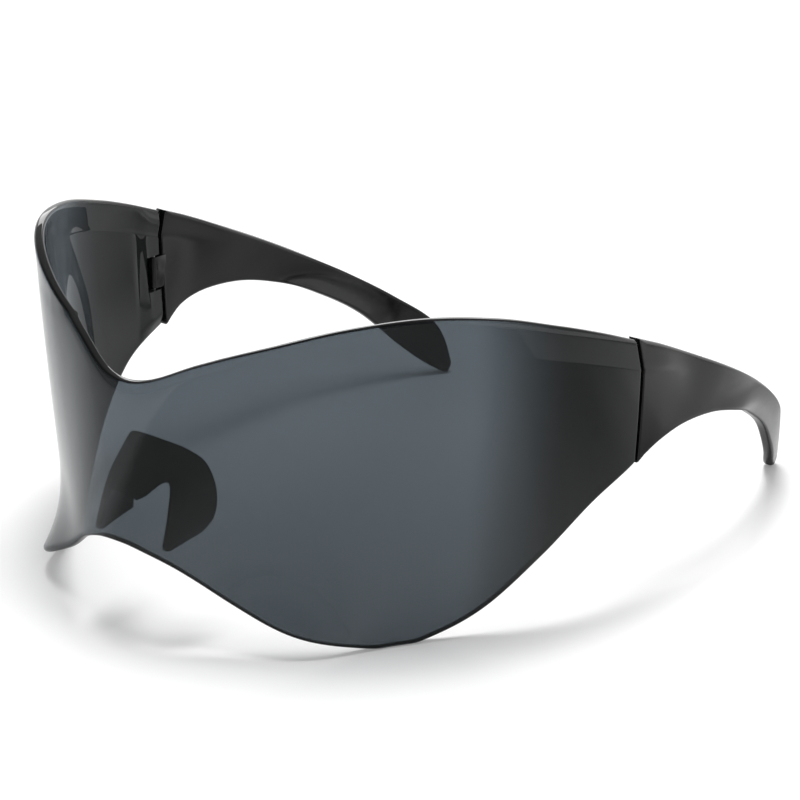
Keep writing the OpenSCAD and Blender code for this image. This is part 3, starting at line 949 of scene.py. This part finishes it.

# The plain floor shows white to the camera and keeps the soft shadow. The gloss sees painted light
# and shade on it, as painted reflections: light on the right, dark with lighter bands in front and
# on the left, and painted shadow where the glasses stand. Lengths from here on are in metres.
floorSettings = {
    "size": 6.0,
    "colour": 0.82,
    "lift": 0.2,
    "farLift": 0.9,         # what keeps the floor white where the lamps no longer reach
    "liftRun": (0.3, 1.5),  # distances from the middle at which the one and the other holds
    "paintedGlossGlow": 0.2,
    "glossFrom": 0.85,      # the painted lightness from which the gloss also sees a painted glow
    "drift": 0.004,
    "driftNoise": (3.0, 2.0),
    "rough": 0.95,
    "specular": 0.1,
    # strips across, each with its place and its painted lightness for the gloss by metres back
    "paintedGlossStrips": (
        (-0.09, ((-0.2, 0.9), (-0.13, 1.0), (-0.07, 1.0), (-0.03, 0.93), (0.2, 0.93))),
        (-0.05, ((-0.2, 0.3), (-0.15, 0.35), (-0.1, 0.75), (-0.07, 0.92), (-0.02, 0.94), (0.04, 0.9),
                 (0.07, 0.5), (0.1, 0.42), (0.16, 0.42), (0.2, 0.5))),
        (0.02, ((-0.2, 0.25), (-0.14, 0.5), (-0.1, 0.35), (-0.06, 0.6), (-0.02, 0.8), (0.02, 0.3),
                (0.065, 0.32), (0.09, 0.68), (0.13, 0.32), (0.16, 0.4), (0.2, 0.95))),
        (0.06, ((-0.2, 0.28), (-0.14, 0.45), (-0.1, 0.35), (-0.06, 0.5), (-0.02, 0.7), (0.03, 0.4),
                (0.07, 0.6), (0.1, 1.0), (0.13, 0.7), (0.16, 0.6), (0.2, 0.95))),
        (0.14, ((-0.2, 0.3), (-0.1, 0.3), (-0.05, 0.5), (-0.02, 0.5), (0.0, 0.38), (0.045, 0.22),
                (0.075, 0.44), (0.095, 0.68), (0.12, 0.75), (0.2, 0.95))),
        (0.2, ((-0.2, 0.3), (0.0, 0.2), (0.13, 0.2), (0.18, 0.6), (0.24, 0.75))),
    ),
}


def paleFloor():
    s = floorSettings
    material, nodes, links, shader, place = newMaterial("paleFloor")
    drift = noiseNode(nodes, links, place, *s["driftNoise"])
    darker, lighter = s["colour"] - s["drift"], s["colour"] + s["drift"]
    tint = tintNode(nodes, links, drift, (darker, darker, darker, 1), (lighter, lighter, lighter, 1))
    shader.inputs["Roughness"].default_value = s["rough"]
    shader.inputs["Specular IOR Level"].default_value = s["specular"]
    path = nodes.new("ShaderNodeLightPath").outputs
    calc = calculator(material.node_tree)
    parts = nodes.new("ShaderNodeSeparateXYZ")
    links.new(place, parts.inputs[0])

    # the painted lightness along one strip
    def tableRamp(table):
        ramp = nodes.new("ShaderNodeValToRGB")
        ramp.color_ramp.interpolation = "EASE"
        while len(ramp.color_ramp.elements) < len(table):
            ramp.color_ramp.elements.new(0.5)
        low, high = table[0][0], table[-1][0]
        for stop, (at, value) in zip(ramp.color_ramp.elements, table):
            stop.position = (at - low) / (high - low)
            stop.color = (value, value, value, 1)
        links.new(rangeNode(nodes, links, parts.outputs["Y"], low, high, 0.0, 1.0), ramp.inputs["Fac"])
        return ramp.outputs["Color"]

    start, table = s["paintedGlossStrips"][0]
    mirrored = tableRamp(table)
    for stop, table in s["paintedGlossStrips"][1:]:
        across = rangeNode(nodes, links, parts.outputs["X"], start, stop, 0.0, 1.0)
        step = calc("SUBTRACT", tableRamp(table), mirrored)
        mirrored = calc("ADD", mirrored, calc("MULTIPLY", across, step))
        start = stop
    # the gloss sees the floor darkened by the painted shade and shadow of the strips
    kept = calc("SUBTRACT", 1.0, calc("MULTIPLY", path["Is Glossy Ray"], calc("SUBTRACT", 1.0, mirrored)))
    dimmed = nodes.new("ShaderNodeVectorMath")
    dimmed.operation = "SCALE"
    links.new(tint, dimmed.inputs[0])
    links.new(kept, dimmed.inputs["Scale"])
    links.new(dimmed.outputs["Vector"], shader.inputs["Base Color"])
    seen = calc("MAXIMUM", path["Is Camera Ray"], path["Is Transmission Ray"])
    # a painted glow for the gloss where the strips are lightest
    paintedGlow = rangeNode(nodes, links, mirrored, s["glossFrom"], 1.0, 0.0, s["paintedGlossGlow"])
    fromMiddle = calculator(material.node_tree, "ShaderNodeVectorMath")("LENGTH", place)
    lift = rangeNode(nodes, links, fromMiddle, *s["liftRun"], s["lift"], s["farLift"])
    shader.inputs["Emission Color"].default_value = (1, 1, 1, 1)
    glow = calc("ADD", calc("MULTIPLY", seen, lift), calc("MULTIPLY", path["Is Glossy Ray"], paintedGlow))
    links.new(glow, shader.inputs["Emission Strength"])
    half = s["size"] / 2
    corners = [(-half, -half, 0), (half, -half, 0), (half, half, 0), (-half, half, 0)]
    mesh = bpy.data.meshes.new("studioFloor")
    mesh.from_pydata(corners, [], [(0, 1, 2, 3)])
    mesh.materials.append(material)
    return newPiece("studioFloor", mesh)


paleFloor()

# Lights: each with its place, the height over the middle at which it faces, its size across and
# up, its power, and whether the gloss shows it
lights = {
    "frontKey": {"place": (0.0, -0.15, 1.5), "faces": 0.0, "size": (0.5, 0.5), "power": 8, "shown": False},
    "backKey": {"place": (-0.1, 0.22, 1.5), "faces": 0.0, "size": (0.4, 0.4), "power": 9, "shown": False},
    "topBox": {"place": (0.05, 0.2, 1.35), "faces": 0.0, "size": (0.9, 0.9), "power": 3, "shown": False},
    "backBox": {"place": (-0.95, 1.1, 0.6), "faces": 0.04, "size": (0.8, 0.4), "power": 3, "shown": True},
    "leftBox": {"place": (-1.5, -0.6, 0.8), "faces": 0.03, "size": (0.8, 1.2), "power": 3, "shown": False},
    "rightBox": {"place": (1.6, 0.1, 0.8), "faces": 0.03, "size": (0.6, 1.1), "power": 2, "shown": False},
}
for name, box in lights.items():
    light = bpy.data.lights.new(name, "AREA")
    light.shape = "RECTANGLE"
    light.size, light.size_y = box["size"]
    light.energy = box["power"]
    lamp = bpy.data.objects.new(name, light)
    lamp.location = box["place"]
    towards = Vector((0, 0, box["faces"])) - Vector(box["place"])
    lamp.rotation_euler = towards.to_track_quat("-Z", "Y").to_euler()
    lamp.visible_glossy = box["shown"]
    lamp.visible_camera = False
    bpy.context.scene.collection.objects.link(lamp)

# The world shows white; the gloss sees the room darker in front and overhead than behind.
# Each range gives two places along a direction and the lightness at each.
room = {"back": (-0.1, 0.25, 0.25, 1.0), "up": (0.2, 0.34, 1.0, 0.35), "ambient": 0.22}
world = bpy.data.worlds.new("studio")
bpy.context.scene.world = world
world.use_nodes = True
worldNodes, worldLinks = world.node_tree.nodes, world.node_tree.links
rays = worldNodes.new("ShaderNodeLightPath").outputs
worldCalc = calculator(world.node_tree)
skyParts = worldNodes.new("ShaderNodeSeparateXYZ")
worldLinks.new(worldNodes.new("ShaderNodeTexCoord").outputs["Generated"], skyParts.inputs[0])
skyBack = rangeNode(worldNodes, worldLinks, skyParts.outputs["Y"], *room["back"])
skyUp = rangeNode(worldNodes, worldLinks, skyParts.outputs["Z"], *room["up"])
sky = worldCalc("MULTIPLY", skyUp, skyBack)
glossy = worldCalc("MULTIPLY", rays["Is Glossy Ray"], sky)
seen = worldCalc("MAXIMUM", rays["Is Camera Ray"], rays["Is Transmission Ray"])
ambient = worldCalc("MULTIPLY", rays["Is Diffuse Ray"], room["ambient"])
strength = worldCalc("ADD", worldCalc("ADD", seen, glossy), ambient)
worldLinks.new(strength, worldNodes["Background"].inputs["Strength"])
worldNodes["Background"].inputs["Color"].default_value = (1, 1, 1, 1)

# The camera, at the photograph's angle and framing
view = {
    "azimuth": 39.727,
    "elevation": 20.8385,
    "distance": 0.8956,
    "target": (0, 0.008049, 0.026522),
    "lens": 180.17,
    "sensor": 36,
    "reach": 20,
}
azimuth, elevation = math.radians(view["azimuth"]), math.radians(view["elevation"])
level = math.cos(elevation)
away = Vector((math.sin(azimuth) * level, -math.cos(azimuth) * level, math.sin(elevation)))
right = Vector((math.cos(azimuth), math.sin(azimuth), 0))
cameraData = bpy.data.cameras.new("photoCamera")
cameraData.lens = view["lens"]
cameraData.sensor_width = view["sensor"]
cameraData.clip_end = view["reach"]
camera = bpy.data.objects.new("photoCamera", cameraData)
turned = Matrix((right, away.cross(right), away)).transposed().to_4x4()
camera.matrix_world = Matrix.Translation(Vector(view["target"]) + view["distance"] * away) @ turned
bpy.context.scene.collection.objects.link(camera)
bpy.context.scene.camera = camera
bpy.context.scene.view_settings.view_transform = "Standard"

print("stage, lights and camera set")
